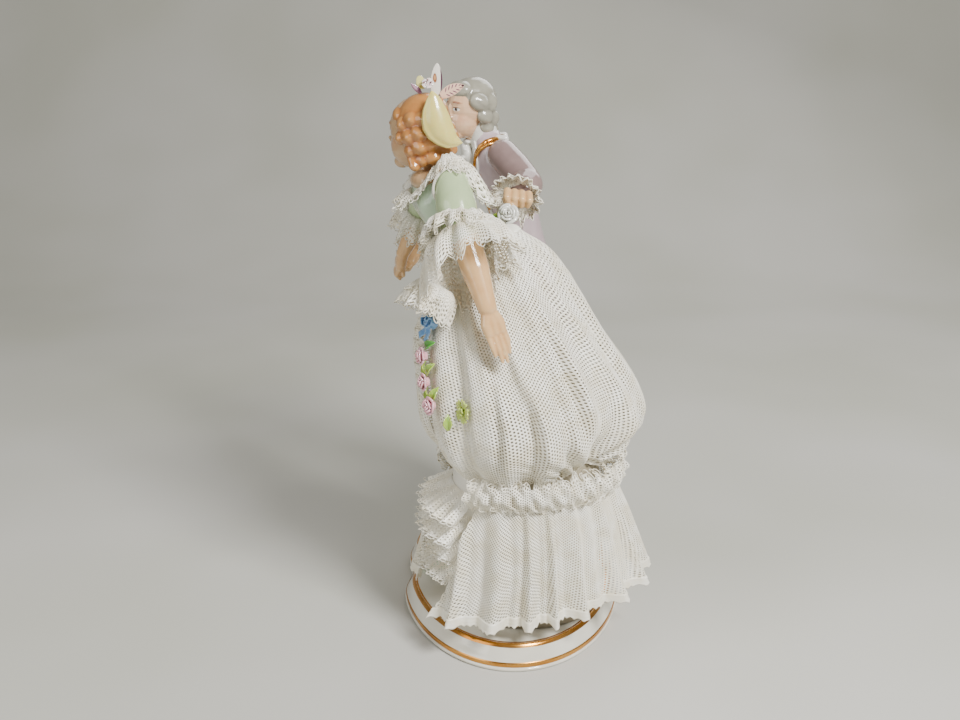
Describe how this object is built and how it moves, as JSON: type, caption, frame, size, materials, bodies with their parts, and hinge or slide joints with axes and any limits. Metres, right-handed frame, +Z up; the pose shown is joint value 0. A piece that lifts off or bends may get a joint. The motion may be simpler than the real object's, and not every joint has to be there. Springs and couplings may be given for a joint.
{
  "type": "porcelain lace figurine",
  "caption": "Porcelain figurine of a dancing couple in historic court dress, with stiff fired lace skirts, standing on a lobed oval plinth with gilt edges.",
  "frame": {"origin": "middle of the plinth's flat underside", "axes": "+Z up; the couple faces -X; the lady stands on the -Y half of the plinth and the gentleman on the +Y half"},
  "size_m": [0.1038, 0.1555, 0.2164],
  "materials": {
    "glazed_white": "ivory porcelain, clear glazed, with gilt lines",
    "lady_colours": "porcelain, painted in skin, auburn and pale green, glazed",
    "gentleman_colours": "porcelain, painted in skin, grey, lilac and mauve, glazed",
    "lace_white": "net dipped in porcelain slip and fired, thin glaze",
    "ribbon_blue": "porcelain, painted blue, glazed",
    "rose_pink": "porcelain, painted pink, glazed",
    "leaf_green": "porcelain, painted green, glazed",
    "blossom_green": "porcelain, painted lime green, glazed",
    "plume_yellow": "porcelain, painted yellow, glazed",
    "feather_white": "porcelain, white with dark painted strokes, glazed"
  },
  "bodies": {
    "root": {"plinth": "glazed_white", "lady": "lady_colours", "gentleman": "gentleman_colours", "overskirt": "lace_white", "underskirt": "lace_white", "skirt_ruche": "lace_white", "petticoat_flounce_1": "lace_white", "petticoat_flounce_2": "lace_white", "petticoat_flounce_3": "lace_white", "petticoat_flounce_4": "lace_white", "front_robing_frill": "lace_white", "neckline_frill": "lace_white", "left_elbow_frill_upper": "lace_white", "left_elbow_frill_lower": "lace_white", "left_elbow_frill_front": "lace_white", "right_elbow_frill": "lace_white", "gentleman_left_cuff_frill": "lace_white", "gentleman_right_cuff_frill": "lace_white", "garland_bow": "ribbon_blue", "garland_rose_1": "rose_pink", "garland_rose_2": "rose_pink", "garland_rose_3": "rose_pink", "garland_blossom": "blossom_green", "garland_leaf_1": "leaf_green", "garland_leaf_2": "leaf_green", "garland_leaf_3": "leaf_green", "garland_leaf_4": "leaf_green", "garland_leaf_5": "leaf_green", "garland_leaf_6": "leaf_green", "yellow_plume": "plume_yellow", "crest_feather_tall": "feather_white", "crest_feather_back": "feather_white", "crest_feather_front": "feather_white", "crest_blossom": "feather_white"}
  },
  "joints": []
}
